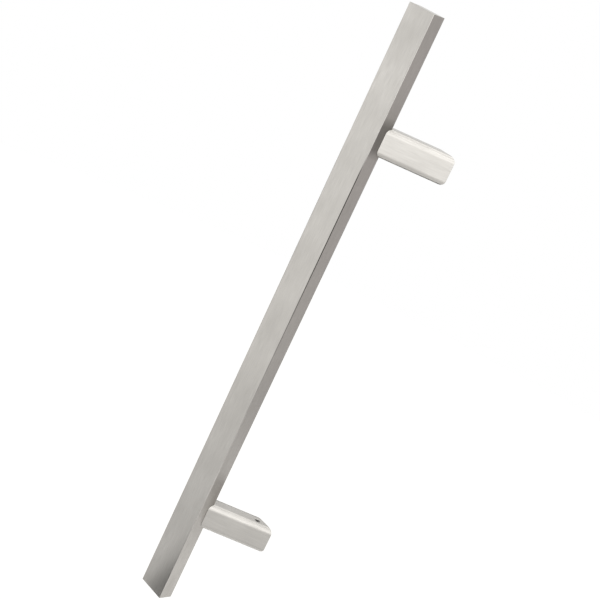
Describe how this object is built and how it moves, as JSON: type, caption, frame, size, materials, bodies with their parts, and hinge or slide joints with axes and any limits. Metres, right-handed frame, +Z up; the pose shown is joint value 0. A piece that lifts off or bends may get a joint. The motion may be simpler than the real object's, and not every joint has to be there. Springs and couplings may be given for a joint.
{
  "type": "door pull handle",
  "caption": "Offset door pull handle: flat brushed steel bar held clear of the door and to one side by slanting posts with clamped fixing sockets.",
  "frame": {"origin": "on the door's face, midway between the axes of the two fixing sockets", "axes": "+Z up along the bar, +Y from the handle into the door, +X from the bar towards the fixings"},
  "size_m": [0.076, 0.055, 0.6],
  "materials": {
    "satin_stainless": "satin stainless steel, ground along the length",
    "machined_stainless": "machined stainless steel",
    "grub_screw_steel": "plain stainless steel, as headed and cut"
  },
  "bodies": {
    "root": {"grip_bar": "satin_stainless", "end_plate_top": "satin_stainless", "end_plate_bottom": "satin_stainless", "post_upper": "satin_stainless", "post_lower": "satin_stainless", "fixing_socket_upper": "machined_stainless", "fixing_socket_lower": "machined_stainless", "grub_screw_upper": "grub_screw_steel", "grub_screw_lower": "grub_screw_steel"}
  },
  "joints": []
}
